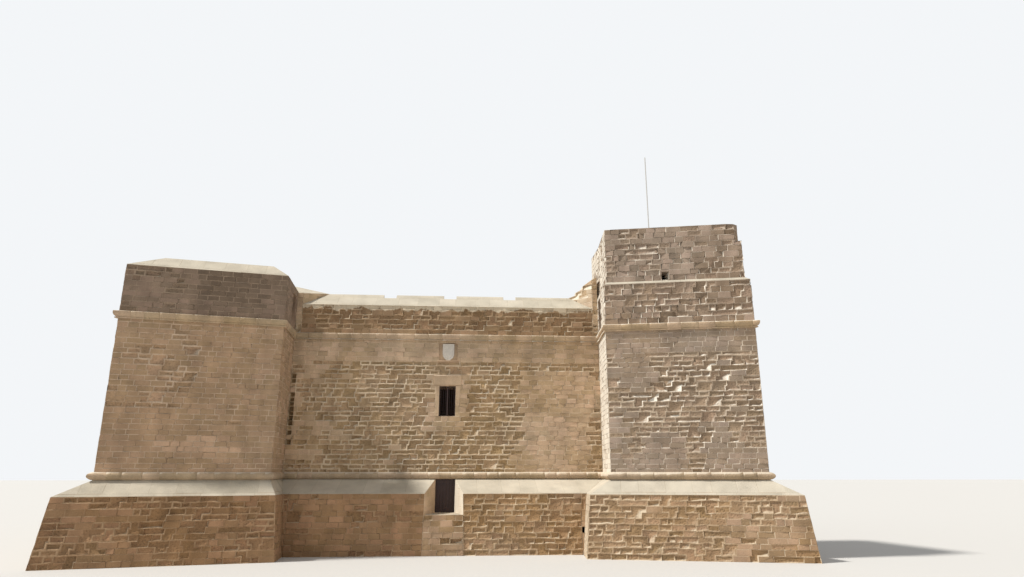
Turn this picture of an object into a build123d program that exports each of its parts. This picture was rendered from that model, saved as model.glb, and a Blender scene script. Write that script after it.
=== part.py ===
import os
from math import sqrt

from build123d import *

os.makedirs("parts", exist_ok=True)

# A square coastal fort with four corner bastions.
# Origin at the centre of the ground, front wall facing -Y, sizes in millimetres.

# Plan of the main walls
curtain_line = 10400       # centre to the outer face of each straight wall
flank_x = 8190             # centre line to the corner where a bastion's flank meets the wall
flank_length = 3090        # how far the flank stands out of the wall
flank_toe_in = 250         # how much the flank leans to the middle over its length
salient = 15040            # centre to the bastion's outer point, along x and along y
wall_thickness = 1800

# Heights above the ground
sill_level = 1820          # door sill and ground floor
ledge_edge = 2790          # outer edge of the sloped ledge
moulding_bottom = 3455     # underside of the base moulding, also the head of the door
upper_floor_level = 5750
window_sill_level = 6630
cordon_top = 10970         # top of the upper cordon, also the level of the roof terrace

# Lower scarp and its ledge
curtain_ledge_width = 1930
face_ledge_width = 800
flank_ledge_width = 420
turret_flank_ledge_width = 1100
scarp_batter = 0.08
scarp_joint_gap = 200

# Mouldings
base_moulding_height = 345
base_moulding_depth = 150
cordon_height = 350
cordon_depth = 140
cordon_top_band = 95
cordon_lower_band = 60
cordon_lower_depth = 80
cordon_hollow = 25

# Doorway
door_width = 990
doorway_front_width = 1850
door_reveal_depth = 120
door_pocket_lap = 135

# Door leaf and its ironwork
leaf_thickness = 60
leaf_clearance = 8
leaf_lap = 40
pin_radius = 12
pin_clearance = 0.4
knuckle_wall = 10
strap_thickness = 8
strap_height = 60
strap_length = 820
strap_inset = 260
hinge_gap = 0.3
pintle_height = 30

# Window
window_width = 855
window_height = 1575
frame_setback = 150
frame_depth = 60
frame_bar = 45
mullion_width = 70
lintel_overhang = 300
lintel_height = 500
lintel_lift = 50
lintel_depth = 55
lintel_cap = 70
lintel_cap_depth = 90

# Niche and shield over the front window
niche_width = 990
niche_height = 950
niche_drop = 460           # from the top of the cordon down to the head of the niche
niche_depth = 110
shield_width = 616
shield_height = 910
shield_thickness = 90
shield_straight = 530      # straight part of its sides
shield_bulge_x = 210
shield_bulge_lift = 127
bracket_width = 1090
bracket_height = 110
bracket_depth = 130

# Floors
floor_thickness = 300
upper_floor_thickness = 350
terrace_thickness = 600

# Parapets
curtain_parapet_height = 1585
bastion_parapet_height = 2260
curtain_parapet_depth = 1150
bastion_parapet_depth = 920
parapet_slope = 0.76
notch_width = 700
notch_spacing = 3350
notch_depth = 260
parapet_corner_length = 290

# Flank embrasures
embrasure_width = 1000
embrasure_offset = 350
embrasure_sill = 100
embrasure_height = 1780

# Turret on the front right bastion
turret_height = 2880       # above the ledge at the bastion parapet's edge
turret_wall = 1000
turret_setback = 150
turret_upper_wall = 850
turret_floor_thickness = 250
turret_roof_thickness = 300
turret_roof_drop = 120
turret_corner_cut = 250
turret_corner_cut_height = 935
turret_window_from_flank = 2850
turret_window_width = 365
turret_window_height = 420
turret_window_lift = 40
turret_door_width = 900
turret_door_height = 1880
ramp_rise = 1170           # from the bastion parapet's edge to the top of the stepped ramp
ramp_steps = 2
step_rise = 150

# Mast
mast_from_flank = 2610
mast_from_curtain = 1900
mast_radius = 30
mast_height = 4910
mast_foot_radius = 110
mast_foot_height = 60

# Worked out from the sizes above
inner_line = curtain_line - wall_thickness
shoulder_x = flank_x - flank_toe_in
shoulder_y = curtain_line + flank_length
moulding_top = moulding_bottom + base_moulding_height
curtain_parapet_edge = cordon_top + curtain_parapet_height
bastion_parapet_edge = cordon_top + bastion_parapet_height
turret_top = bastion_parapet_edge + turret_height
face_slope = (salient - shoulder_y) / (salient - shoulder_x)
face_stretch = sqrt(1 + face_slope**2)
flank_slope = flank_toe_in / flank_length
curtain_crest = curtain_parapet_edge + parapet_slope * curtain_parapet_depth
bastion_crest = bastion_parapet_edge + parapet_slope * bastion_parapet_depth
notch_sill = curtain_crest - notch_depth
curtain_crest_line = curtain_line - curtain_parapet_depth
corner_start = flank_x - parapet_corner_length
corner_end = corner_start - curtain_parapet_depth
scarp_foot_spread = scarp_batter * ledge_edge

SIDES = {"front": 0, "right": 90, "rear": 180, "left": 270}


def flank_at(y, grow=0):
    """x of the flank, moved out towards the middle of the wall by grow, at the depth -y"""
    return flank_x - grow - flank_slope * (y - curtain_line)


def shoulder_point(face_grow=0, flank_grow=0):
    """corner between flank and face, each moved outwards"""
    top = flank_x - flank_grow - flank_slope * (
        salient * (1 - face_slope) + face_grow * face_stretch - curtain_line
    )
    x = top / (1 + flank_slope * face_slope)
    y = salient + face_slope * (x - salient) + face_grow * face_stretch
    return (x, -y)


def salient_point(face_grow=0):
    x = salient + face_grow * face_stretch / (1 - face_slope)
    return (x, -x)


def across_diagonal(points):
    """the same points on the other side of the bastion, in reverse order"""
    return [(-y, -x) for x, y in reversed(points)]


def bastion_plan(inner_points, face_grow=0, flank_grow=0):
    """outline of the front right bastion, from the front flank round to the side flank"""
    half = inner_points + [shoulder_point(face_grow, flank_grow)]
    return half + [salient_point(face_grow)] + across_diagonal(half)


def save(part, name):
    part.label = name
    export_step(part, f"parts/{name}.step")


# Lower scarp of a bastion: battered walls and a sloped ledge, with its share of the straight wall
def bastion_scarp_levels(flank_width):
    joint_x = flank_x - flank_width - scarp_foot_spread - scarp_joint_gap

    def outline(curtain_grow, face_grow, flank_grow):
        curtain_y = curtain_line + curtain_grow
        return bastion_plan(
            [
                (joint_x, -inner_line),
                (joint_x, -curtain_y),
                (flank_at(curtain_y, flank_grow), -curtain_y),
            ],
            face_grow,
            flank_grow,
        ) + [(inner_line, -inner_line)]

    foot = outline(
        curtain_ledge_width + scarp_foot_spread,
        face_ledge_width + scarp_foot_spread,
        flank_width + scarp_foot_spread,
    )
    edge = outline(curtain_ledge_width, face_ledge_width, flank_width)
    top = outline(0, 0, 0)
    return joint_x, foot, edge, top


def bastion_scarp(flank_width):
    joint_x, foot, edge, top = bastion_scarp_levels(flank_width)
    with BuildPart() as scarp:
        for low, low_z, high, high_z in (
            (foot, 0, edge, ledge_edge),
            (edge, ledge_edge, top, moulding_bottom),
        ):
            for points, z in ((low, low_z), (high, high_z)):
                with BuildSketch(Plane.XY.offset(z)):
                    with BuildLine():
                        Polyline(*points, close=True)
                    make_face()
            loft(ruled=True)
    return scarp.part, joint_x


turret_scarp, turret_joint_x = bastion_scarp(turret_flank_ledge_width)
plain_scarp, plain_joint_x = bastion_scarp(flank_ledge_width)

with BuildPart() as front_right_bastion_scarp:
    add(turret_scarp)
with BuildPart() as front_left_bastion_scarp:
    mirror(plain_scarp, about=Plane.YZ)
with BuildPart() as rear_right_bastion_scarp:
    mirror(plain_scarp, about=Plane.XZ)
with BuildPart() as rear_left_bastion_scarp:
    add(plain_scarp.rotate(Axis.Z, 180))


# Lower scarp of a straight wall
def curtain_scarp(left_end, right_end):
    with BuildPart() as scarp:
        with BuildSketch(Plane.YZ.offset(left_end)):
            with BuildLine():
                Polyline(
                    (-inner_line, 0),
                    (-(curtain_line + curtain_ledge_width + scarp_foot_spread), 0),
                    (-(curtain_line + curtain_ledge_width), ledge_edge),
                    (-curtain_line, moulding_bottom),
                    (-inner_line, moulding_bottom),
                    close=True,
                )
            make_face()
        extrude(amount=right_end - left_end)
    return scarp.part


cheek_slope = (doorway_front_width - door_width) / 2 / curtain_ledge_width
cheek_reach = curtain_ledge_width + 2 * scarp_foot_spread
passage_front_x = door_width / 2 + cheek_slope * cheek_reach
door_pocket_x = door_width / 2 + door_pocket_lap
leaf_seat_y = -(curtain_line - door_reveal_depth)
passage_half = [
    (passage_front_x, -(curtain_line + cheek_reach)),
    (door_width / 2, -curtain_line),
    (door_width / 2, leaf_seat_y),
    (door_pocket_x, leaf_seat_y),
    (door_pocket_x, -inner_line),
]
passage_plan = passage_half + [(-x, y) for x, y in reversed(passage_half)]

with BuildPart() as passage:
    with BuildSketch():
        with BuildLine():
            Polyline(*passage_plan, close=True)
        make_face()
    extrude(amount=moulding_bottom)

front_scarp = curtain_scarp(-plain_joint_x, turret_joint_x)
with BuildPart() as split_front_scarp:
    add(front_scarp)
    add(passage.part, mode=Mode.SUBTRACT)
front_scarp_halves = split_front_scarp.part.solids().sort_by(Axis.X)

with BuildPart() as front_scarp_left:
    add(front_scarp_halves[0])
with BuildPart() as front_scarp_right:
    add(front_scarp_halves[-1])
with BuildPart() as doorway_sill:
    add(front_scarp)
    add(passage.part, mode=Mode.INTERSECT)
    split(bisect_by=Plane.XY.offset(sill_level), keep=Keep.BOTTOM)

with BuildPart() as right_scarp:
    add(curtain_scarp(-turret_joint_x, plain_joint_x).rotate(Axis.Z, SIDES["right"]))
with BuildPart() as rear_scarp:
    add(curtain_scarp(-plain_joint_x, plain_joint_x).rotate(Axis.Z, SIDES["rear"]))
with BuildPart() as left_scarp:
    add(curtain_scarp(-plain_joint_x, plain_joint_x).rotate(Axis.Z, SIDES["left"]))

# Straight walls, with the upper storey's window
with BuildPart() as plain_wall:
    with BuildSketch(Plane.XY.offset(moulding_bottom)):
        with BuildLine():
            Polyline(
                (-flank_x, -curtain_line),
                (flank_x, -curtain_line),
                (flank_x, -inner_line),
                (-flank_x, -inner_line),
                close=True,
            )
        make_face()
    extrude(amount=cordon_top - moulding_bottom)
    with BuildSketch(Plane.XZ.offset(inner_line)):
        with Locations((0, window_sill_level + window_height / 2)):
            Rectangle(window_width, window_height)
    extrude(amount=wall_thickness, mode=Mode.SUBTRACT)

niche_bottom = cordon_top - niche_drop - niche_height
with BuildPart() as front_wall:
    add(plain_wall.part)
    with BuildSketch(Plane.XZ.offset(curtain_line)):
        with Locations((0, niche_bottom + niche_height / 2)):
            Rectangle(niche_width, niche_height)
    extrude(amount=-niche_depth, mode=Mode.SUBTRACT)

# Bastion body: one mass of masonry
main_outline = bastion_plan([(flank_x, -inner_line), (flank_x, -curtain_line)]) + [
    (inner_line, -inner_line)
]
with BuildPart() as front_right_bastion:
    with BuildSketch(Plane.XY.offset(moulding_bottom)):
        with BuildLine():
            Polyline(*main_outline, close=True)
        make_face()
    extrude(amount=cordon_top - moulding_bottom)
with BuildPart() as front_left_bastion:
    mirror(front_right_bastion.part, about=Plane.YZ)
with BuildPart() as rear_right_bastion:
    mirror(front_right_bastion.part, about=Plane.XZ)
with BuildPart() as rear_left_bastion:
    add(front_right_bastion.part.rotate(Axis.Z, 180))

# Base moulding and upper cordon, each swept along the walls with mitred corners
path_root_y = curtain_line - bastion_parapet_depth
bastion_path_points = bastion_plan([(flank_at(path_root_y), -path_root_y)])


def moulding_profile(plane, kind):
    """section in a plane whose x points out of the wall and whose y points up"""
    with BuildSketch(plane) as profile:
        with BuildLine():
            if kind == "base":
                Line((0, moulding_bottom), (0, moulding_top))
                ThreePointArc(
                    (0, moulding_top),
                    (base_moulding_depth, (moulding_bottom + moulding_top) / 2),
                    (0, moulding_bottom),
                )
            else:
                low = cordon_top - cordon_height
                step = low + cordon_lower_band
                hollow_top = cordon_top - cordon_top_band
                Polyline(
                    (0, step),
                    (0, low),
                    (cordon_lower_depth, low),
                    (cordon_lower_depth, step),
                    (cordon_lower_depth / 2, step),
                )
                SagittaArc(
                    (cordon_lower_depth / 2, step), (cordon_depth, hollow_top), -cordon_hollow
                )
                Polyline(
                    (cordon_depth, hollow_top),
                    (cordon_depth, cordon_top),
                    (0, cordon_top),
                    (0, step),
                )
        make_face()
    return profile.sketch


def bastion_moulding(kind):
    start = Vector(*bastion_path_points[0], 0)
    along = (Vector(*bastion_path_points[1], 0) - start).normalized()
    outward = along.cross(Vector(0, 0, 1))
    with BuildPart() as moulding:
        with BuildLine() as path:
            Polyline(*bastion_path_points)
        section = moulding_profile(Plane(start, x_dir=outward, z_dir=-along), kind)
        sweep(section, path=path.wires()[0], transition=Transition.RIGHT)
        with BuildSketch():
            Rectangle(2 * curtain_line, 2 * curtain_line)
        extrude(amount=cordon_top, mode=Mode.SUBTRACT)
    return moulding.part


def curtain_moulding(kind, bastion_band):
    with BuildPart() as moulding:
        plane = Plane((flank_x, -curtain_line, 0), x_dir=(0, -1, 0), z_dir=(-1, 0, 0))
        extrude(moulding_profile(plane, kind), amount=2 * flank_x)
        for neighbour in (bastion_band, front_right_bastion.part):
            add(neighbour, mode=Mode.SUBTRACT)
            add(mirror(neighbour, about=Plane.YZ, mode=Mode.PRIVATE), mode=Mode.SUBTRACT)
    return moulding.part


bastion_base = bastion_moulding("base")
bastion_cordon = bastion_moulding("cordon")
curtain_base = curtain_moulding("base", bastion_base)
curtain_cordon = curtain_moulding("cordon", bastion_cordon)

# Pieces that repeat on the four sides
all_round = {}
for name, piece in (
    ("curtain_base_mouldings", curtain_base),
    ("bastion_base_mouldings", bastion_base),
    ("curtain_cordons", curtain_cordon),
    ("bastion_cordons", bastion_cordon),
):
    with BuildPart() as copies:
        for turn in SIDES.values():
            add(piece.rotate(Axis.Z, turn))
    all_round[name] = copies.part

# Floors
def room_slab(top, thickness):
    with BuildPart() as slab:
        with BuildSketch(Plane.XY.offset(top - thickness)):
            Rectangle(2 * inner_line, 2 * inner_line)
        extrude(amount=thickness)
    return slab.part


ground_floor = room_slab(sill_level, floor_thickness)
upper_floor = room_slab(upper_floor_level, upper_floor_thickness)
roof_terrace = room_slab(cordon_top, terrace_thickness)

# Parapet of a straight wall, with a sloped top and level notches between the merlons
parapet_plan = [
    (-corner_start, -curtain_line),
    (corner_start, -curtain_line),
    (corner_end, -curtain_crest_line),
    (-corner_end, -curtain_crest_line),
]


def parapet_piece(section_points):
    """part of the parapet inside a section drawn across the wall, y and z"""
    with BuildPart() as piece:
        with BuildSketch(Plane.XY.offset(cordon_top)):
            with BuildLine():
                Polyline(*parapet_plan, close=True)
            make_face()
        extrude(amount=curtain_crest - cordon_top)
        with BuildSketch(Plane.YZ.offset(-flank_x)):
            with BuildLine():
                Polyline(*section_points, close=True)
            make_face()
        extrude(amount=2 * flank_x, mode=Mode.INTERSECT)
    return piece.part


slope_at_sill = -curtain_line + (notch_sill - curtain_parapet_edge) / parapet_slope
curtain_parapet = parapet_piece(
    [
        (-curtain_line, cordon_top),
        (-curtain_line, curtain_parapet_edge),
        (slope_at_sill, notch_sill),
        (-curtain_crest_line, notch_sill),
        (-curtain_crest_line, cordon_top),
    ]
)

with BuildPart() as curtain_merlons:
    add(
        parapet_piece(
            [
                (slope_at_sill, notch_sill),
                (-curtain_crest_line, curtain_crest),
                (-curtain_crest_line, notch_sill),
            ]
        )
    )
    with BuildSketch(Plane.XY.offset(notch_sill)):
        with Locations((0, -curtain_line)):
            with GridLocations(notch_spacing, 1, 3, 1):
                Rectangle(notch_width, 4 * curtain_parapet_depth)
    extrude(amount=notch_depth, mode=Mode.SUBTRACT)

# Corner blocks that lead from a straight parapet up to a bastion's parapet
flank_crest_x = flank_x + bastion_parapet_depth
with BuildPart() as corner_block:
    with BuildSketch(Plane.XY.offset(cordon_top)):
        with BuildLine():
            Polyline(
                (flank_x, -curtain_line),
                (corner_start, -curtain_line),
                (corner_end, -curtain_crest_line),
                (flank_crest_x, -curtain_crest_line),
                (flank_crest_x, -curtain_line),
                close=True,
            )
        make_face()
    extrude(amount=bastion_crest - cordon_top)
    corner_edge = Vector(flank_x, -curtain_line, bastion_parapet_edge)
    to_curtain_crest = Vector(corner_end, -curtain_crest_line, curtain_crest) - corner_edge
    to_flank_crest = Vector(flank_crest_x, -curtain_crest_line, bastion_crest) - corner_edge
    slope_plane = Plane(corner_edge, x_dir=to_flank_crest, z_dir=to_flank_crest.cross(to_curtain_crest))
    split(bisect_by=slope_plane, keep=Keep.BOTTOM)

# Stepped ramp that leads from a straight parapet up to the turret
turret_ramp_top = bastion_parapet_edge + ramp_rise
ramp_tread = (flank_x - corner_end) / (ramp_steps + 2)
ramp_outline = [(corner_end, cordon_top), (corner_end, curtain_crest)]
for step in range(ramp_steps):
    step_x = corner_end + (step + 1) * ramp_tread
    step_foot = curtain_crest + (2 * step + 0.5) * step_rise
    ramp_outline += [(step_x, step_foot), (step_x, step_foot + step_rise)]
ramp_outline += [(flank_x, turret_ramp_top), (flank_x, cordon_top)]

with BuildPart() as turret_ramp:
    with BuildSketch(Plane.XY.offset(cordon_top)):
        with BuildLine():
            Polyline(
                (flank_x, -curtain_line),
                (corner_start, -curtain_line),
                (corner_end, -curtain_crest_line),
                (flank_x, -curtain_crest_line),
                close=True,
            )
        make_face()
    extrude(amount=turret_ramp_top - cordon_top)
    with BuildSketch(Plane.XZ.offset(curtain_crest_line)):
        with BuildLine():
            Polyline(*ramp_outline, close=True)
        make_face()
    extrude(amount=curtain_parapet_depth, mode=Mode.INTERSECT)

# Parapet of a bastion
def embrasure_cutters():
    """slots through the two flanks, close to the straight walls"""
    bottom = cordon_top + embrasure_sill
    centre = curtain_line + embrasure_offset + embrasure_width / 2
    reach = 3 * max(turret_wall, bastion_parapet_depth)
    with BuildPart() as slots:
        with BuildSketch(Plane.XY.offset(bottom)):
            with Locations((flank_x, -centre)):
                Rectangle(reach, embrasure_width)
            with Locations((centre, -flank_x)):
                Rectangle(embrasure_width, reach)
        extrude(amount=embrasure_height)
    return slots.part


embrasures = embrasure_cutters()

path_start = Vector(*bastion_path_points[0], 0)
path_along = (Vector(*bastion_path_points[1], 0) - path_start).normalized()
path_inward = Vector(0, 0, 1).cross(path_along)
with BuildPart() as bastion_parapet:
    with BuildLine() as path:
        Polyline(*bastion_path_points)
    with BuildSketch(Plane(path_start, x_dir=path_inward, z_dir=path_along)) as section:
        with BuildLine():
            Polyline(
                (0, cordon_top),
                (0, bastion_parapet_edge),
                (bastion_parapet_depth, bastion_crest),
                (bastion_parapet_depth, cordon_top),
                close=True,
            )
        make_face()
    sweep(transition=Transition.RIGHT)
    add(embrasures, mode=Mode.SUBTRACT)
    with BuildSketch():
        Rectangle(2 * curtain_line, 2 * curtain_line)
    extrude(amount=turret_top, mode=Mode.SUBTRACT)

with BuildPart() as front_left_parapet:
    mirror(bastion_parapet.part, about=Plane.YZ)
with BuildPart() as rear_right_parapet:
    mirror(bastion_parapet.part, about=Plane.XZ)
with BuildPart() as rear_left_parapet:
    add(bastion_parapet.part.rotate(Axis.Z, 180))

# Turret: the front right bastion carried up as a room, with a doorway through its rear corner
turret_lower_outline = [(flank_x, -flank_x)] + bastion_plan([(flank_x, -curtain_line)])
upper_flank_x = flank_x + turret_setback
turret_upper_outline = [(upper_flank_x, -upper_flank_x)] + bastion_plan(
    [(upper_flank_x, -curtain_line)], -turret_setback, -turret_setback
)


def ring_walls(outline, thickness, bottom, top):
    with BuildPart() as walls:
        with BuildSketch(Plane.XY.offset(bottom)):
            with BuildLine():
                Polyline(*outline, close=True)
            make_face()
            offset(amount=-thickness, kind=Kind.INTERSECTION, mode=Mode.SUBTRACT)
        extrude(amount=top - bottom)
    return walls.part


def inner_slab(outline, thickness, top, slab_thickness):
    with BuildPart() as slab:
        with BuildSketch(Plane.XY.offset(top - slab_thickness)) as plan:
            with BuildLine():
                Polyline(*outline, close=True)
            make_face()
            offset(amount=-thickness, kind=Kind.INTERSECTION, mode=Mode.REPLACE)
        extrude(amount=slab_thickness)
    return slab.part


rear_corner_plane = Plane((flank_x, -flank_x, cordon_top), x_dir=(1, 1, 0), z_dir=(1, -1, 0))
with BuildPart() as turret_lower_walls:
    add(ring_walls(turret_lower_outline, turret_wall, cordon_top, bastion_parapet_edge))
    add(embrasures, mode=Mode.SUBTRACT)
    with BuildSketch(rear_corner_plane):
        with Locations((0, turret_door_height / 2)):
            Rectangle(turret_door_width, turret_door_height)
    extrude(amount=2 * turret_wall, both=True, mode=Mode.SUBTRACT)
    # sloped shoulder up to the foot of the upper walls
    chamfer(faces().sort_by(Axis.Z)[-1].outer_wire().edges(), length=turret_setback)

turret_floor_level = cordon_top + embrasure_sill + embrasure_height + turret_floor_thickness
turret_floor = inner_slab(
    turret_lower_outline, turret_wall, turret_floor_level, turret_floor_thickness
)

turret_window_x = flank_x + turret_window_from_flank
with BuildPart() as turret_upper_walls:
    add(ring_walls(turret_upper_outline, turret_upper_wall, bastion_parapet_edge, turret_top))
    with BuildSketch(Plane.XZ.offset(curtain_line)):
        with Locations(
            (turret_window_x, bastion_parapet_edge + turret_window_lift + turret_window_height / 2)
        ):
            Rectangle(turret_window_width, turret_window_height)
    extrude(amount=salient - curtain_line, mode=Mode.SUBTRACT)
    cut_point = salient_point(-turret_setback)[0] - turret_corner_cut / sqrt(2)
    corner_plane = Plane((cut_point, -cut_point, turret_top), x_dir=(1, 1, 0), z_dir=(1, -1, 0))
    with BuildSketch(corner_plane):
        with Locations((0, -turret_corner_cut_height / 2)):
            Rectangle(salient, turret_corner_cut_height)
    extrude(amount=salient, mode=Mode.SUBTRACT)

# The turret's floor and roof lie between its walls
turret_roof = inner_slab(
    turret_upper_outline, turret_upper_wall, turret_top - turret_roof_drop, turret_roof_thickness
)

with BuildPart() as turret_slabs:
    add(turret_floor)
    add(turret_roof)

# Mast on the turret's roof
mast_plane = Plane(
    (flank_x + mast_from_flank, -curtain_line - mast_from_curtain, turret_top - turret_roof_drop)
)
with BuildPart() as mast:
    with BuildSketch(mast_plane):
        Circle(mast_foot_radius)
    extrude(amount=mast_foot_height)
    with BuildSketch(mast_plane):
        Circle(mast_radius)
    extrude(amount=mast_height)

# Window frame with a middle bar, and the lintel over the window
with BuildPart() as window_frame:
    with BuildSketch(Plane.XZ.offset(curtain_line - frame_setback)):
        with Locations((0, window_sill_level + window_height / 2)):
            Rectangle(window_width, window_height)
            Rectangle(
                window_width - 2 * frame_bar, window_height - 2 * frame_bar, mode=Mode.SUBTRACT
            )
            Rectangle(mullion_width, window_height)
    extrude(amount=-frame_depth)

lintel_bottom = window_sill_level + window_height + lintel_lift
lintel_length = window_width + 2 * lintel_overhang
with BuildPart() as window_lintel:
    with BuildSketch(Plane.XZ.offset(curtain_line)):
        with Locations((0, lintel_bottom + lintel_height / 2)):
            Rectangle(lintel_length, lintel_height)
    extrude(amount=lintel_depth)
    with BuildSketch(Plane.XZ.offset(curtain_line)):
        with Locations((0, lintel_bottom + lintel_height - lintel_cap / 2)):
            Rectangle(lintel_length, lintel_cap)
    extrude(amount=lintel_cap_depth)

for name, piece in (("window_frames", window_frame.part), ("window_lintels", window_lintel.part)):
    with BuildPart() as copies:
        for turn in SIDES.values():
            add(piece.rotate(Axis.Z, turn))
    all_round[name] = copies.part

# Bare shield in its niche, on a bracket
shield_shoulder = niche_bottom + shield_height - shield_straight
with BuildPart() as escutcheon:
    with BuildSketch(Plane.XZ.offset(curtain_line - niche_depth)):
        with BuildLine():
            Polyline(
                (-shield_width / 2, shield_shoulder),
                (-shield_width / 2, niche_bottom + shield_height),
                (shield_width / 2, niche_bottom + shield_height),
                (shield_width / 2, shield_shoulder),
            )
            for side in (1, -1):
                ThreePointArc(
                    (side * shield_width / 2, shield_shoulder),
                    (side * shield_bulge_x, niche_bottom + shield_bulge_lift),
                    (0, niche_bottom),
                )
        make_face()
    extrude(amount=shield_thickness)

with BuildPart() as escutcheon_bracket:
    with BuildSketch(Plane.XZ.offset(curtain_line)):
        with Locations((0, niche_bottom - bracket_height / 2)):
            Rectangle(bracket_width, bracket_height)
    extrude(amount=bracket_depth)

# Door leaf, hung on two pintles behind the left jamb and opening inwards
knuckle_radius = pin_radius + pin_clearance + knuckle_wall
leaf_front_y = leaf_seat_y + leaf_clearance
leaf_back_y = leaf_front_y + leaf_thickness
hinge_x = -(door_pocket_x - knuckle_radius - leaf_clearance)
hinge_y = leaf_back_y + knuckle_radius
leaf_left = hinge_x + pin_radius
leaf_right = door_width / 2 + leaf_lap
leaf_bottom = sill_level + leaf_clearance
leaf_top = moulding_bottom - leaf_clearance
hinge_levels = (leaf_bottom + strap_inset, leaf_top - strap_inset)

with BuildPart() as door_leaf:
    with BuildSketch(Plane.XY.offset(leaf_bottom)):
        with Locations(((leaf_left + leaf_right) / 2, (leaf_front_y + leaf_back_y) / 2)):
            Rectangle(leaf_right - leaf_left, leaf_thickness)
    extrude(amount=leaf_top - leaf_bottom)

# Strap hinges: a flat strap on the leaf that ends in a knuckle round the pin
with BuildPart() as door_straps:
    for level in hinge_levels:
        with BuildSketch(Plane.XY.offset(level - strap_height / 2)):
            with Locations((hinge_x + strap_length / 2, leaf_back_y + strap_thickness / 2)):
                Rectangle(strap_length, strap_thickness)
            with Locations((hinge_x, hinge_y)):
                Circle(knuckle_radius)
                Circle(pin_radius + pin_clearance, mode=Mode.SUBTRACT)
        extrude(amount=strap_height)

# Pintles: an arm out of the side of the pocket and an upright pin
with BuildPart() as door_pintles:
    for level in hinge_levels:
        pin_base = level - strap_height / 2 - hinge_gap
        with BuildSketch(Plane.YZ.offset(-door_pocket_x)):
            with Locations((hinge_y, pin_base - pintle_height / 2)):
                Rectangle(2 * pin_radius, pintle_height)
        extrude(amount=hinge_x + pin_radius + door_pocket_x)
        with BuildSketch(Plane.XY.offset(pin_base)):
            with Locations((hinge_x, hinge_y)):
                Circle(pin_radius)
        extrude(amount=strap_height + hinge_gap)

pieces = {
    "front_scarp_left": front_scarp_left.part,
    "front_scarp_right": front_scarp_right.part,
    "doorway_sill": doorway_sill.part,
    "right_scarp": right_scarp.part,
    "rear_scarp": rear_scarp.part,
    "left_scarp": left_scarp.part,
    "front_left_bastion_scarp": front_left_bastion_scarp.part,
    "front_right_bastion_scarp": front_right_bastion_scarp.part,
    "rear_left_bastion_scarp": rear_left_bastion_scarp.part,
    "rear_right_bastion_scarp": rear_right_bastion_scarp.part,
    "front_wall": front_wall.part,
    "right_wall": plain_wall.part.rotate(Axis.Z, SIDES["right"]),
    "rear_wall": plain_wall.part.rotate(Axis.Z, SIDES["rear"]),
    "left_wall": plain_wall.part.rotate(Axis.Z, SIDES["left"]),
    "front_left_bastion": front_left_bastion.part,
    "front_right_bastion": front_right_bastion.part,
    "rear_left_bastion": rear_left_bastion.part,
    "rear_right_bastion": rear_right_bastion.part,
    "ground_floor": ground_floor,
    "upper_floor": upper_floor,
    "roof_terrace": roof_terrace,
    "front_left_bastion_parapet": front_left_parapet.part,
    "rear_left_bastion_parapet": rear_left_parapet.part,
    "rear_right_bastion_parapet": rear_right_parapet.part,
    "turret_lower_walls": turret_lower_walls.part,
    "turret_slabs": turret_slabs.part,
    "turret_upper_walls": turret_upper_walls.part,
    "mast": mast.part,
    "escutcheon": escutcheon.part,
    "escutcheon_bracket": escutcheon_bracket.part,
    "door_leaf": door_leaf.part,
    "door_straps": door_straps.part,
    "door_pintles": door_pintles.part,
}
for side, turn in SIDES.items():
    pieces[f"{side}_parapet"] = curtain_parapet.rotate(Axis.Z, turn)
pieces.update(all_round)

with BuildPart() as merlons:
    for turn in SIDES.values():
        add(curtain_merlons.part.rotate(Axis.Z, turn))
pieces["merlons"] = merlons.part

# Each straight parapet meets two corner blocks; the two beside the turret are stepped ramps
left_corner = mirror(corner_block.part, about=Plane.YZ)
with BuildPart() as corner_blocks:
    for side in ("front", "rear", "left"):
        add(left_corner.rotate(Axis.Z, SIDES[side]))
    for side in ("right", "rear", "left"):
        add(corner_block.part.rotate(Axis.Z, SIDES[side]))
    add(turret_ramp.part)
    mirror(turret_ramp.part, about=Plane((0, 0, 0), x_dir=(0, 0, 1), z_dir=(1, 1, 0)))
pieces["corner_blocks"] = corner_blocks.part

for name, part in pieces.items():
    save(part, name)
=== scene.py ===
import math
import random
from bisect import bisect
from functools import partial

import bmesh
import bpy
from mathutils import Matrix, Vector, noise


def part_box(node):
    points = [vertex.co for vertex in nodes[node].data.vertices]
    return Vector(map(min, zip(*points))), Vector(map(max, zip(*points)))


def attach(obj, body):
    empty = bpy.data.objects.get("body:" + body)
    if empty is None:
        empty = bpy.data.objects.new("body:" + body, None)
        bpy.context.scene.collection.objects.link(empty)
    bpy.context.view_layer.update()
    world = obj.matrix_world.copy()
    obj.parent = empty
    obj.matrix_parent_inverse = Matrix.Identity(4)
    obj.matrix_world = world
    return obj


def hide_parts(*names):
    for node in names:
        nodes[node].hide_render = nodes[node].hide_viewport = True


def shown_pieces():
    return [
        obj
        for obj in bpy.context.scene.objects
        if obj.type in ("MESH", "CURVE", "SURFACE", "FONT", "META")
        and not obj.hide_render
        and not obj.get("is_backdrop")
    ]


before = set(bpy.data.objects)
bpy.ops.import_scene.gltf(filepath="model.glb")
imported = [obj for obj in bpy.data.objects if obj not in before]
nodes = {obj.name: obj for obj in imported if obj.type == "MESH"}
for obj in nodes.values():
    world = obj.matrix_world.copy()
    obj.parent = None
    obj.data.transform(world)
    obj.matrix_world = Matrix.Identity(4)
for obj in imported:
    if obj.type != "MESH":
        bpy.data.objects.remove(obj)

for name in ("Cube", "Light", "Camera"):  # what a new file starts with
    if name in bpy.data.objects:
        bpy.data.objects.remove(bpy.data.objects[name])
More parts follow.
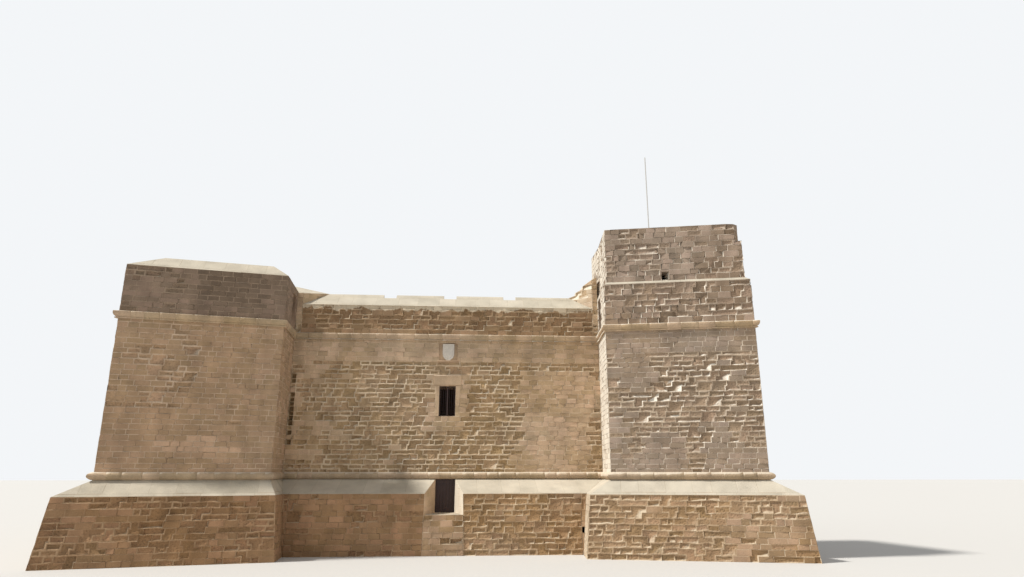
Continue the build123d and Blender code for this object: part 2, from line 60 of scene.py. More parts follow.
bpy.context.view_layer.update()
rightward, rearward, up = axes = Vector((1, 0, 0)), Vector((0, 1, 0)), Vector((0, 0, 1))
scene = bpy.context.scene

# Lines of the fort, read from its pieces
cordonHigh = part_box("curtain_cordons")[1].z
wallFace = -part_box("front_wall")[0].y


# Camera, where the photograph was taken from
view = {
    "place": (0.944, -46.44, 3.80),
    "lens": 23.695,
    "tiltUp": 15.23,
    "turn": -3.94,
}


def addCamera():
    data = bpy.data.cameras.new("photoCamera")
    data.lens = view["lens"]
    data.sensor_width = 36
    data.clip_end = 500
    camera = bpy.data.objects.new("photoCamera", data)
    camera.location = view["place"]
    camera.rotation_euler = (math.radians(90 + view["tiltUp"]), 0, math.radians(view["turn"]))
    scene.collection.objects.link(camera)
    scene.camera = camera


# Light: an even pale surround and one soft lamp from high on the left, nearly along the front wall
light = {
    "sunTowards": (0.67, 0.10, -1.0),
    "sunStrength": 4.2,
    "sunSoftness": 5.0,  # degrees
    "sunColour": (1.0, 0.965, 0.91),
    "surround": 0.52,
    "surroundColour": (0.97, 0.985, 1.0),
    "backdrop": (0.90, 0.92, 0.94),
    "floor": (0.54, 0.53, 0.51),
    "floorSize": 600,
}


def addLight():
    data = bpy.data.lights.new("keyLamp", "SUN")
    data.energy = light["sunStrength"]
    data.angle = math.radians(light["sunSoftness"])
    data.color = light["sunColour"]
    lamp = bpy.data.objects.new("keyLamp", data)
    lamp.rotation_euler = Vector(light["sunTowards"]).to_track_quat("-Z", "Y").to_euler()
    scene.collection.objects.link(lamp)

    world = bpy.data.worlds.new("paleSurround")
    scene.world = world
    world.use_nodes = True
    tree = world.node_tree
    tree.nodes.clear()
    around, backdrop = (
        addNode(tree, "Background", {"Color": (*colour, 1), "Strength": strength})[0]
        for colour, strength in ((light["surroundColour"], light["surround"]), (light["backdrop"], 1.0))
    )
    rays = addNode(tree, "LightPath")
    seen = reckon(tree, "MAXIMUM", rays["Is Camera Ray"], rays["Is Glossy Ray"])
    seen = reckon(tree, "MAXIMUM", seen, rays["Is Transmission Ray"])
    mixed = addNode(tree, "MixShader", {0: seen, 1: around, 2: backdrop})[0]
    addNode(tree, "OutputWorld", {"Surface": mixed})

    bm = bmesh.new()
    bmesh.ops.create_grid(bm, x_segments=1, y_segments=1, size=light["floorSize"] / 2)
    floor = objectFrom(bm, "paleFloor", [plainMaterial("paleFloor", light["floor"], 0.9)])
    floor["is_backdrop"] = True
    scene.view_settings.view_transform = "Standard"


# Small helpers for meshes
fine = {
    "join": 0.0005,  # corners of a node's loose triangles that are the same
    "samePlane": 0.9999,
    "sameDepth": 0.004,
    "cut": 0.003,
    "nothing": 1e-6,
    "steep": 0.3,  # walls have an upward part of their normal below this
    "level": 0.985,
}


def objectFrom(bm, name, materials):
    mesh = bpy.data.meshes.new(name)
    bm.to_mesh(mesh)
    bm.free()
    for material in materials:
        mesh.materials.append(material)
    piece = bpy.data.objects.new(name, mesh)
    scene.collection.objects.link(piece)
    return piece


def copyOfNode(name):  # the node's shape with its loose triangles joined
    bm = bmesh.new()
    bm.from_mesh(nodes[name].data)
    bmesh.ops.remove_doubles(bm, verts=bm.verts, dist=fine["join"])
    for face in bm.faces:
        face.smooth = False
    bm.normal_update()
    return bm


def flatRegions(bm):  # flat areas of the piece, each a list of faces in one plane
    regions = []
    for face in bm.faces:
        depth = face.normal.dot(face.verts[0].co)
        for region in regions:
            isParallel = region["normal"].dot(face.normal) > fine["samePlane"]
            if isParallel and abs(region["depth"] - depth) < fine["sameDepth"]:
                region["faces"].append(face)
                break
        else:
            regions.append({"normal": face.normal.copy(), "depth": depth, "faces": [face]})
    for region in regions:
        area = sum(face.calc_area() for face in region["faces"])
        total = sum((f.calc_center_median() * f.calc_area() for f in region["faces"]), Vector())
        region["area"] = area
        region["centre"] = total / max(area, fine["nothing"])
        region["low"], region["high"] = extent(region["faces"], up)
    return regions


def cutFaces(bm, faces, place, axis):
    geometry = dict.fromkeys(faces)  # keeps its order, as a set would not
    for face in faces:
        geometry.update(dict.fromkeys(face.edges))
        geometry.update(dict.fromkeys(face.verts))
    cut = bmesh.ops.bisect_plane(
        bm, geom=list(geometry), dist=fine["cut"], plane_co=axis * place, plane_no=axis
    )
    return [item for item in cut["geom"] if isinstance(item, bmesh.types.BMFace)]


def placeOn(face, axis):
    return face.calc_center_median().dot(axis)


def extent(faces, axis):  # where faces start and end along an axis
    reach = [vert.co.dot(axis) for face in faces for vert in face.verts]
    return min(reach), max(reach)


def parted(faces, isFirst):  # those that pass the test, and the others
    first, others = [], []
    for face in faces:
        (first if isFirst(face) else others).append(face)
    return first, others


def splitAt(bm, faces, place, axis):  # cuts faces, and returns those before and behind the cut
    return parted(cutFaces(bm, faces, place, axis), lambda face: placeOn(face, axis) < place)


def islands(faces):  # groups of faces that share edges
    left, groups = dict.fromkeys(faces), []
    while left:
        group, queue = [], [left.popitem()[0]]
        while queue:
            face = queue.pop()
            group.append(face)
            for edge in face.edges:
                for other in edge.link_faces:
                    if other in left:
                        del left[other]
                        queue.append(other)
        groups.append(group)
    return groups


def moveFaces(faces, shift):
    for face in faces:
        for vert in face.verts:
            vert.co += shift


def boxOf(faces):
    return [Vector(corner) for corner in zip(*(extent(faces, axis) for axis in axes))]


def easeEdges(bm, edges, radius, segments=2):
    bmesh.ops.bevel(
        bm, geom=edges, offset=radius, segments=segments, profile=0.5, affect="EDGES", material=-1,
        clamp_overlap=True,
    )


def courseLevels(low, high, height):
    count = max(1, round((high - low) / height))
    step = (high - low) / count
    picker = random.Random(round(low * 10) + round(high * 100))
    stray = masonry["courseWander"]
    return [low + step * (i + picker.uniform(-stray, stray)) for i in range(1, count)]


# Stones: what a mason would change
masonry = {
    "course": 0.245,
    "turretCourse": 0.29,
    "courseWander": 0.07,  # share of a course by which its level strays
    "stoneLengths": (0.30, 0.72),
    "firstLength": (0.35, 1.0),  # share of the longest length that each course starts with
    "leastLength": 0.20,
    "stagger": 0.085,  # least distance from the joints of the course below
    "weld": 0.045,  # stones' corners nearer to each other than this become one
    "ribWidths": (0.004, 0.011, 0.022, 0.034),  # half widths of the mortar left proud between worn ones
    "longestMitre": 2.2,  # times the width of a joint or arris
    "soundArris": 0.008,
    "wornArris": 0.024,
    "soundProud": (0.004, 0.014),
    "wornDepth": (0.014, 0.082),
    "depthPatches": 0.7,  # noise scale of the areas that are worn deeper
    "leastDepth": 0.25,
    "dishWidth": 0.036,
    "pocketDepth": (0.0, 0.035),
    "roughness": 0.027,
    "roughScales": (4.3, 11.0),
    "ribWander": 0.042,  # how far the worn joints stray from straight
    "wanderScale": 3.1,
    "longEdge": 0.30,  # longer edges of worn stones get a bend
    "bendAt": (0.35, 0.65),
    "joined": 0.40,  # share of the worn stones that have lost a joint
    "leastShared": 0.13,  # edges shorter than this don't join two stones
    "wornEdge": 0.03,  # a stone with a shorter edge gets no worn arris
    "dishedEdge": 0.07,  # and with one shorter than this no hollow
    "hollow": (0.0, 0.042),
    "otherPlace": Vector((19.1, 7.3, 3.7)),  # far enough off to give another value of the same noise
    "wornJitter": 0.018,  # how far the corners of the worn faces are shaken
    "jitterShare": 0.13,  # but no more than this share of their shortest edge
    "arrisLoss": 0.05,
    "turretArrisLoss": 0.13,
    "notchDepth": 0.16,
    "notchRim": 0.022,
    "notchFlare": 0.004,
    "notchShare": 0.72,
    "leastNotch": 0.08,
    "patches": (0.55, 0.8, 0),  # worn stones come in patches: noise scales and a shift
    "smallPatches": (1.3, 2.1, 40),
    "patchiness": 2.2,
    "threshold": (0.28, 0.72),
    "flankWorn": 0.08,  # share of worn stones on the flanks of bastions and turret
    "soundWear": (0.0, 0.30),
    "fullWear": (0.62, 1.0),
    "leastWorn": 0.19,  # narrower stones than this stay sound
    "leastSound": 0.06,
    "leastFront": 0.12,  # smaller faces than this, in square metres, get no stones
}

# What each kind of face is coloured from: its tone, its wear and how much mortar shows
marks = {
    "bare": (0.5, 0.15, 0.0),
    "eased": (0.6, 0.15, 0.0),
    "soundJoint": (0.5, 0.1, 0.85),
    "soundArris": (0.5, 0.2, 0.15),
    "rib": (0.5, 0.7, 0.9),
    "wornArris": (0.5, 0.6, 0.4),
    # notch faces are darker than the wall stones: painted shade inside the deep notches, darkest on their
    # backs
    "notchSide": (0.2, 0.7, 0.4),
    "shadedNotchBack": (-1.5, 0.8, 0.0),
    "moulding": (0.5, 0.3, 0.0),
    "slabJoint": (0.5, 0.2, 1.0),
    "slabArris": (0.5, 0.2, 0.4),
    "smoothFrom": 0.55,  # faces with more wear than this are shaded smooth
}

# How worn each front is: its share of worn stones, and boxes with another share, later ones on top.
# Each box runs from x to x and from z to z, in metres. Boxes under "tones" make stones lighter or darker
wearMaps = {
    "front_wall": {
        "all": 0.86,
        "boxes": [
            (-9.0, -5.2, 0.0, 20.0, 0.62),
            (-9.0, 9.0, 9.55, 20.0, 0.06),
            (3.9, 9.0, 4.3, 9.0, 0.22),
            (4.8, 7.6, 0.0, 7.6, 0.03),
            (3.2, 4.9, 3.8, 5.4, 0.30),
            (7.7, 9.0, 0.0, 9.5, 0.45),
            (-1.0, 1.0, 5.9, 8.9, 0.12),
        ],
        "notches": (0.27, (5.2, 8.7)),  # at the left end: their width, and between which heights
    },
    "front_left_bastion": {
        "all": 0.04,
        "joint": 0.013,
        "boxes": [
            (-15.1, -11.9, 6.6, 9.9, 0.48),
            (-12.9, -11.7, 7.6, 10.4, 0.62),
            (-11.6, -8.9, 5.4, 7.4, 0.20),
        ],
        "tones": [
            (-12.75, -11.5, 4.62, 5.2, 1.5),
            (-11.4, -9.5, 4.62, 4.95, 1.4),
            (-11.4, -10.4, 4.9, 5.5, 1.4),
            (-15.1, -12.6, 3.8, 7.0, 0.35),
        ],
    },
    "front_right_bastion": {
        "all": 0.72,
        "depth": 0.75,
        "boxes": [
            (8.0, 16.0, 9.45, 20.0, 0.10),
            (8.3, 10.0, 7.7, 10.6, 0.08),
            (8.0, 9.4, 3.8, 6.2, 0.35),
            (9.6, 11.3, 3.8, 5.75, 0.04),
            (12.2, 15.1, 3.8, 4.95, 0.06),
            (12.0, 13.6, 5.0, 6.0, 0.30),
            (10.2, 13.8, 6.0, 8.9, 0.92),
        ],
    },
    "front_parapet": {"all": 0.80, "boxes": [(-9.0, 9.0, 10.9, 11.35, 0.30)]},
    "front_left_bastion_parapet": {
        "all": 0.10,
        "joint": 0.012,
        "boxes": [(-15.1, -12.6, 10.9, 14.0, 0.45)],
        "tones": [(-11.8, -9.0, 11.7, 13.4, -0.9)],
    },
    "turret_lower_walls": {
        "all": 0.70,
        "depth": 0.65,
        "boxes": [(8.0, 9.9, 10.9, 12.0, 0.10), (11.0, 12.3, 10.9, 11.9, 0.15)],
    },
    "turret_upper_walls": {
        "all": 0.55,
        "depth": 0.55,
        "boxes": [(10.6, 13.2, 14.2, 15.1, 0.10), (11.6, 13.2, 13.3, 14.4, 0.12)],
    },
    "front_right_bastion_scarp": {"all": 0.82, "depth": 0.6, "boxes": [(12.6, 17.0, 0.0, 3.0, 0.55)]},
    "front_left_bastion_scarp": {"all": 0.55},
    "front_scarp_left": {"all": 0.30},
    "front_scarp_right": {"all": 0.75, "depth": 0.7},
    "doorway_sill": {"all": 0.25},
    "elsewhere": {"all": 0.55, "depth": 1.0, "boxes": (), "tones": (), "joint": 0.006},
}


def wearOf(nodeName):
    return {**wearMaps["elsewhere"], **wearMaps.get(nodeName, {})}


def valuesAt(boxes, centre):
    return [
        value for x0, x1, z0, z1, value in boxes
        if x0 <= centre.x <= x1 and z0 <= centre.z <= z1 and centre.y < 0
    ]


def patchAt(centre, level, upright, shift):
    return noise.noise(Vector((centre.x * level, centre.y * level, centre.z * upright + shift)))


def isWorn(wear, centre, onFlank, picker):
    share = ([wear["all"]] + valuesAt(wear["boxes"], centre))[-1]
    if onFlank:
        share = masonry["flankWorn"]
    patch = patchAt(centre, *masonry["patches"]) + 0.5 * patchAt(centre, *masonry["smallPatches"])
    reach = masonry["patchiness"] * min(share, 1 - share)
    return share + patch * reach > picker.uniform(*masonry["threshold"])


def toneAt(nodeName, centre, picker):  # how light a stone is, from 0 to 1 or darker where stained
    return picker.random() + sum(valuesAt(wearOf(nodeName)["tones"], centre))


def clearOf(place, taken):  # moves a joint on until it isn't over one of the course below
    for other in sorted(taken):
        if abs(place - other) < masonry["stagger"]:
            place = other + masonry["stagger"]
    return place


def layCourses(bm, region, levels, lengths, picker, rise=up):
    # cuts a flat region into courses and stones, and returns the stones' faces
    along = rise.cross(region["normal"]).normalized()
    faces = region["faces"]
    for level in levels:
        faces = cutFaces(bm, faces, level, rise)
    strips = {}
    for face in faces:
        strips.setdefault(bisect(levels, placeOn(face, rise)), []).append(face)
    stones, taken = [], []
    for course in sorted(strips):
        blocks, joints = [], []
        for group in islands(strips[course]):
            if len(group) > 1:
                group = bmesh.ops.dissolve_faces(bm, faces=group, use_verts=False)["region"]
            blocks.extend(group)
        loose = dict.fromkeys(
            v for face in blocks for v in face.verts if len(v.link_edges) == 2 and straightAt(v)
        )
        bmesh.ops.dissolve_verts(bm, verts=list(loose))
        for face in blocks:
            if not face.is_valid:
                continue
            rest = [face]
            start, end = extent(rest, along)
            place = clearOf(start + picker.uniform(*masonry["firstLength"]) * lengths[1], taken)
            while place < end - masonry["leastLength"]:
                done, rest = splitAt(bm, rest, place, along)
                stones += done
                joints.append(place)
                place = clearOf(place + picker.uniform(*lengths), taken)
            stones += rest
        taken = joints
    return stones


def straightAt(vert):
    a, b = (edge.other_vert(vert).co - vert.co for edge in vert.link_edges)
    isEdge = min(a.length, b.length) > fine["nothing"]
    return isEdge and a.normalized().dot(b.normalized()) < -0.99999


def narrowest(face):  # rough width of a stone's face
    longest = max(edge.calc_length() for edge in face.edges)
    return face.calc_area() / max(longest, fine["nothing"])


def shortest(face):
    return min(edge.calc_length() for edge in face.edges)


def turnsInwards(face):  # true of an L shape
    for loop in face.loops:
        before = (loop.vert.co - loop.link_loop_prev.vert.co).normalized()
        after = (loop.link_loop_next.vert.co - loop.vert.co).normalized()
        if before.cross(after).dot(face.normal) < -0.5:
            return True
    return False


def insetStones(bm, faces, width, look=None, mark=None):  # a ring round each stone
    before = [[vert.co.copy() for vert in face.verts] for face in faces]
    ring = bmesh.ops.inset_individual(bm, faces=faces, thickness=width, use_even_offset=True)
    for face, corners in zip(faces, before):
        for vert, corner in zip(face.verts, corners):
            step = vert.co - corner
            if step.length > masonry["longestMitre"] * width:
                vert.co = corner + step.normalized() * masonry["longestMitre"] * width
        corners.append(corners[0])
        rim = list(face.verts) + [face.verts[0]]
        for i in range(len(rim) - 1):  # a short edge that has turned over is closed instead
            if (corners[i + 1] - corners[i]).dot(rim[i + 1].co - rim[i].co) < 0:
                rim[i].co = rim[i + 1].co = (rim[i].co + rim[i + 1].co) / 2
    if look:
        for face in ring["faces"]:
            face[look] = Vector(mark)
    return ring["faces"]


def cutNotches(bm, stones, width, heights):  # narrow stones at a wall's left end
    line = extent(stones, rightward)[0] + width

    def isNear(face):
        start, end = extent([face], rightward)
        return heights[0] < placeOn(face, up) < heights[1] and start < line < end

    near, rest = parted(stones, isNear)
    return rest + cutFaces(bm, near, line, rightward)


def sinkNotches(bm, stones, width, heights, look, normal, picker):  # and returns the other stones
    line = extent(stones, rightward)[0] + width

    def isDeep(face):
        isEnd = heights[0] < placeOn(face, up) < heights[1] and extent([face], rightward)[1] < line + 0.05
        return isEnd and narrowest(face) > masonry["leastNotch"] and picker.random() < masonry["notchShare"]

    deep, rest = parted(stones, isDeep)
    for thickness, depth in ((masonry["notchRim"], 0.0), (masonry["notchFlare"], masonry["notchDepth"])):
        insetStones(bm, deep, thickness, look, marks["notchSide"])
        moveFaces(deep, -normal * depth)
    # the backs of the notches get a very dark tone, as painted shade
    for face in deep:
        face[look] = Vector(marks["shadedNotchBack"])
    return rest


def joinStones(stones, picker):  # some worn stones have lost the joint between them
    free, kept = dict.fromkeys(stones), []
    for face in stones:
        if face not in free:
            continue
        del free[face]
        others = {
            other: edge.calc_length() for edge in face.edges if edge.calc_length() > masonry["leastShared"]
            for other in edge.link_faces if other in free
        }
        if others and picker.random() < masonry["joined"]:
            other = max(others, key=others.get)
            del free[other]
            joined = bmesh.utils.face_join((face, other))
            if joined:
                face = joined
            else:
                kept.append(other)
        kept.append(face)
    return kept


def bendEdges(stones, inPlane, across, picker):  # joints that no longer run straight
    edges = dict.fromkeys(edge for face in stones for edge in face.edges)
    for edge in edges:
        if edge.calc_length() > masonry["longEdge"] and all(face in stones for face in edge.link_faces):
            first = min(edge.verts, key=lambda vert: tuple(round(part, 3) for part in vert.co))
            bmesh.utils.edge_split(edge, first, picker.uniform(*masonry["bendAt"]))
    for vert in dict.fromkeys(vert for face in stones for vert in face.verts):
        if all(face in stones for face in vert.link_faces):
            spot = vert.co * masonry["wanderScale"]
            sideways, upwards = noise.noise(spot), noise.noise(spot + masonry["otherPlace"])
            vert.co += (inPlane * sideways + across * upwards) * masonry["ribWander"]


def shake(face, inPlane, across, picker):  # moves a worn face's corners about a little
    reach = min(masonry["wornJitter"], masonry["jitterShare"] * shortest(face))
    for vert in face.verts:
        vert.co += (inPlane * picker.uniform(-1, 1) + across * picker.uniform(-1, 1)) * reach


def dressStones(bm, stones, nodeName, look, normal, picker):
    # gives each stone its joint, its worn or sound face, and the numbers that its colour is made from
    inPlane = normal.orthogonal().normalized()
    across = normal.cross(inPlane)
    sound, worn = [], []
    wear = wearOf(nodeName)
    onFlank = abs(normal.x) > 0.9 and ("bastion" in nodeName or "turret" in nodeName)
    if "notches" in wear and normal.y < -0.9:
        stones = sinkNotches(bm, stones, *wear["notches"], look, normal, picker)
    for face in stones:
        width, centre = narrowest(face), face.calc_center_median()
        isOld = isWorn(wear, centre, onFlank, picker)
        face[look] = Vector((toneAt(nodeName, centre, picker), picker.uniform(*masonry["soundWear"]), 0.0))
        if isOld and width > masonry["leastWorn"]:
            worn.append(face)
        elif width > masonry["leastSound"]:
            sound.append(face)
    worn = joinStones(worn, picker)
    bendEdges(dict.fromkeys(worn), inPlane, across, picker)
    if sound:
        insetStones(bm, sound, wear["joint"], look, marks["soundJoint"])
        insetStones(bm, sound, masonry["soundArris"], look, marks["soundArris"])
    for face in sound:
        moveFaces([face], normal * picker.uniform(*masonry["soundProud"]))
    ribs = {width: [] for width in masonry["ribWidths"]}
    for face in worn:
        face[look] = Vector((face[look].x, picker.uniform(*masonry["fullWear"]), 0.0))
        ribs[picker.choice(masonry["ribWidths"])].append(face)
    for width, faces in ribs.items():
        if not faces:
            continue
        insetStones(bm, faces, width, look, marks["rib"])
        faces = [face for face in faces if shortest(face) > masonry["wornEdge"]]
        insetStones(bm, faces, masonry["wornArris"], look, marks["wornArris"])
        for face in faces:
            patch = 0.9 + 0.9 * noise.noise(face.calc_center_median() * masonry["depthPatches"])
            depth = picker.uniform(*masonry["wornDepth"]) * max(masonry["leastDepth"], patch)
            for vert in face.verts:
                vert.co -= normal * depth * wear["depth"] * picker.uniform(0.5, 1.1)
            shake(face, inPlane, across, picker)
        faces = [face for face in faces if shortest(face) > masonry["dishedEdge"]]
        for face in insetStones(bm, faces, masonry["dishWidth"]):
            face[look] = Vector((picker.random(), 0.9, 0.0))
        for face in faces:
            pocket = picker.uniform(*masonry["pocketDepth"])
            for vert in face.verts:
                coarse, small = (noise.noise(vert.co * scale) for scale in masonry["roughScales"])
                rough = coarse + 0.6 * small
                vert.co += normal * (rough * masonry["roughness"] - pocket) * wear["depth"]
            shake(face, inPlane, across, picker)
        plain = [face for face in faces if len(face.verts) < 7]
        for vert in bmesh.ops.poke(bm, faces=plain)["verts"]:
            vert.co -= normal * picker.uniform(*masonry["hollow"]) * wear["depth"]


def loosenArrises(bm, middle, loss, picker):  # wears the upright outer corners back a little
    for vert in list(bm.verts):
        walls = [face.normal for face in vert.link_faces if abs(face.normal.z) < fine["steep"]]
        if len(walls) < 2:
            continue
        outward = sum(walls, Vector()).normalized()
        sharp = min(a.dot(b) for a in walls for b in walls) < 0.75
        if sharp and outward.dot((vert.co - middle).normalized()) > 0.5:
            vert.co -= outward * loss * picker.random() ** 2


# Sloped tops and ledges: slabs with an edge course
slabs = {
    "lengths": (0.75, 1.30),
    "edgeCourse": 0.16,  # width of the course along the lower edge
    "floorRows": 0.62,
    "rampRows": 0.50,
    "leastSlope": 0.25,  # square metres
    "leastFloor": 0.8,
    "joint": 0.005,
    "arris": 0.008,
    "uneven": 0.007,
}


def laySlabs(bm, region, picker, rows=None):
    rise, levels = up, []
    if rows:
        rise = rearward
        levels = courseLevels(*extent(region["faces"], rise), rows)
    else:
        edge = slabs["edgeCourse"] * math.sqrt(1 - region["normal"].z ** 2)
        if region["high"] - region["low"] > 2 * edge:
            levels = [region["low"] + edge]
    return layCourses(bm, region, levels, slabs["lengths"], picker, rise)


def dressSlabs(bm, stones, look, normal, picker):
    stones = [face for face in stones if narrowest(face) > 0.05]
    if not stones:
        return
    for face in stones:
        face[look] = Vector((picker.random(), picker.uniform(0.0, 0.4), 0.0))
    insetStones(bm, stones, slabs["joint"], look, marks["slabJoint"])
    insetStones(bm, stones, slabs["arris"], look, marks["slabArris"])
    for face in stones:
        moveFaces([face], normal * picker.uniform(0.3, 1.0) * slabs["uneven"])


# Jamb blocks beside the windows
surround = {
    "width": 0.21,
    "block": 0.46,
    "cheekBlocks": (0.50, 0.85),
    "uncut": (2.0, 3.0),  # jamb blocks are one stone wide
}
windowFrames = copyOfNode("window_frames")
windowBoxes = [boxOf(faces) for faces in islands(list(windowFrames.faces))]
windowFrames.free()


def atSill(level):  # a course line close to the foot or head of the windows runs along it
    edges = [corner.z for box in windowBoxes for corner in box]
    return next((edge for edge in edges if abs(edge - level) < 0.06), level)


def takeSurrounds(bm, region, picker):  # cuts the jamb blocks out of a wall's face
    normal = region["normal"]
    along = up.cross(normal).normalized()
    blocks = []
    for low, high in windowBoxes:
        if abs((low + high).dot(normal) / 2 - region["centre"].dot(normal)) > 1.5:
            continue
        ends = sorted((low.dot(along), high.dot(along)))
        start, end = ends[0] - surround["width"], ends[1] + surround["width"]
        inside = region["faces"]
        for place in (start, end):
            inside = cutFaces(bm, inside, place, along)
        strip, outside = parted(inside, lambda face: start < placeOn(face, along) < end)
        for level in (low.z, high.z):
            strip = cutFaces(bm, strip, level, up)
        jambs, others = parted(strip, lambda face: low.z < placeOn(face, up) < high.z)
        region["faces"] = outside + others
        levels = courseLevels(low.z, high.z, surround["block"])
        blocks += layCourses(bm, {"normal": normal, "faces": jambs}, levels, surround["uncut"], picker)
    return blocks


def bastionMiddle(nodeName):
    low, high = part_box(nodeName)
    centre = (low + high) / 2
    return centre if abs(centre.x) > 6 and abs(centre.y) > 6 else Vector((0, 0, centre.z))


def isOuterWall(region, middle, battered):
    normal, centre = region["normal"], region["centre"]
    if abs(normal.z) > fine["steep"] or region["area"] < masonry["leastFront"]:
        return False
    beyond = max(abs(centre.x), abs(centre.y)) > wallFace - 0.01
    outward = normal.x * (centre.x - middle.x) + normal.y * (centre.y - middle.y) > 0
    if battered:
        cheek = abs(centre.x) < 1.1 and centre.y < -wallFace and abs(normal.z) < 0.01
        return cheek or (outward and normal.z > 0.03)
    return outward and (beyond or centre.z > cordonHigh)


def dressNode(nodeName, finish, capFinish="capStone", course=masonry["course"], battered=False, rows=None):
    # lays stones on a node's outer faces, slabs on its sloped tops and, given rows, flags on its level ones
    bm = copyOfNode(nodeName)
    look = bm.faces.layers.float_vector.new("stone")
    group = bm.faces.layers.int.new("group")
    picker = random.Random(nodeName)
    middle = bastionMiddle(nodeName)
    corners = list(bm.verts)
    for face in bm.faces:
        face[look] = Vector(marks["bare"])
    kinds = {}
    for index, region in enumerate(flatRegions(bm), 1):
        normal = region["normal"]
        if isOuterWall(region, middle, battered):
            blocks = takeSurrounds(bm, region, picker) if nodeName.endswith("_wall") else []
            for face in blocks:
                face[group] = -index
                kinds[-index] = ("surround", normal)
            if battered and abs(normal.z) < 0.01:  # the cheeks beside the doorway
                levels = courseLevels(region["low"], region["high"], surround["block"])
                for face in layCourses(bm, region, levels, surround["cheekBlocks"], picker):
                    face[group] = index
                kinds[index] = ("surround", normal)
                continue
            levels = courseLevels(region["low"], region["high"], course)
            if nodeName.endswith("_wall"):
                levels = [atSill(level) for level in levels]
            stones = layCourses(bm, region, levels, masonry["stoneLengths"], picker)
            if "notches" in wearOf(nodeName) and normal.y < -0.9:
                stones = cutNotches(bm, stones, *wearOf(nodeName)["notches"])
            kinds[index] = ("stones", normal)
        elif fine["steep"] < normal.z < fine["level"] and region["area"] > slabs["leastSlope"]:
            stones = laySlabs(bm, region, picker)
            kinds[index] = ("slabs", normal)
        elif rows and normal.z > fine["level"] and region["area"] > slabs["leastFloor"]:
            stones = laySlabs(bm, region, picker, rows)
            kinds[index] = ("slabs", normal)
        else:
            continue
        for face in stones:
            face[group] = index
    fixed = [vert for vert in corners if vert.is_valid]
    near = bmesh.ops.find_doubles(bm, verts=bm.verts, keep_verts=fixed, dist=masonry["weld"])
    bmesh.ops.weld_verts(bm, targetmap=near["targetmap"])
    bm.normal_update()
    angled = [
        face for face in bm.faces
        if face[group] > 0 and shortest(face) < masonry["dishedEdge"] and turnsInwards(face)
    ]
    bmesh.ops.connect_verts_concave(bm, faces=angled)
    loose = [edge for edge in bm.edges if not edge.link_faces]
    bmesh.ops.delete(bm, geom=loose, context="EDGES")
    bm.normal_update()
    grouped = {index: [face for face in bm.faces if face[group] == index] for index in kinds}
    for index, (kind, normal) in kinds.items():
        if kind == "stones":
            dressStones(bm, grouped[index], nodeName, look, normal, picker)
        else:
            dressSlabs(bm, grouped[index], look, normal, picker)
    loosenArrises(bm, middle, masonry["turretArrisLoss" if "turret" in nodeName else "arrisLoss"], picker)
    for vert in bm.verts:
        vert.co.z = max(vert.co.z, 0.0)
    bm.normal_update()
    for face in bm.faces:
        kind = kinds.get(face[group], ("stones",))[0]
        if kind == "surround":
            face.material_index = 2
        elif kind == "slabs" and face.normal.z > fine["steep"]:
            face.material_index = 1
        face.smooth = face[look].y > marks["smoothFrom"]
    return placeFor(nodeName, bm, [stoneMaterials[label] for label in (finish, capFinish, "paleStone")])


def placeFor(nodeName, bm, materials):  # a finished piece that stands for a node
    if "stone" not in bm.faces.layers.float_vector:
        look = bm.faces.layers.float_vector.new("stone")
        for face in bm.faces:
            face[look] = Vector(marks["eased"])
    smooth = [face.smooth for face in bm.faces]
    piece = objectFrom(bm, "dressed_" + nodeName, materials)
    piece.data.set_sharp_from_angle(angle=math.radians(36))
    piece.data.polygons.foreach_set("use_smooth", smooth)  # the line above has reset it
    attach(piece, "fort")
    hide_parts(nodeName)
    return piece


# Mouldings: each straight run is cut into lengths of stone with open joints
mouldings = {
    "lengths": (0.55, 0.95),
    "jointHalf": 0.010,
    "jointDepth": 0.012,
    "uneven": 0.009,
    "erosion": 0.022,
    "step": 0.30,  # distance between the sections that carry the erosion
    "facet": 14,  # degrees
    "easedEdge": 0.040,  # radius of a cordon's upper edge
    "shortestRun": 1.0,
    "leastEnd": 0.3,  # no joint is nearer to the end of a run than this
    "mitreGap": 0.05,  # and no erosion this near to it, so that mitres stay shut
}


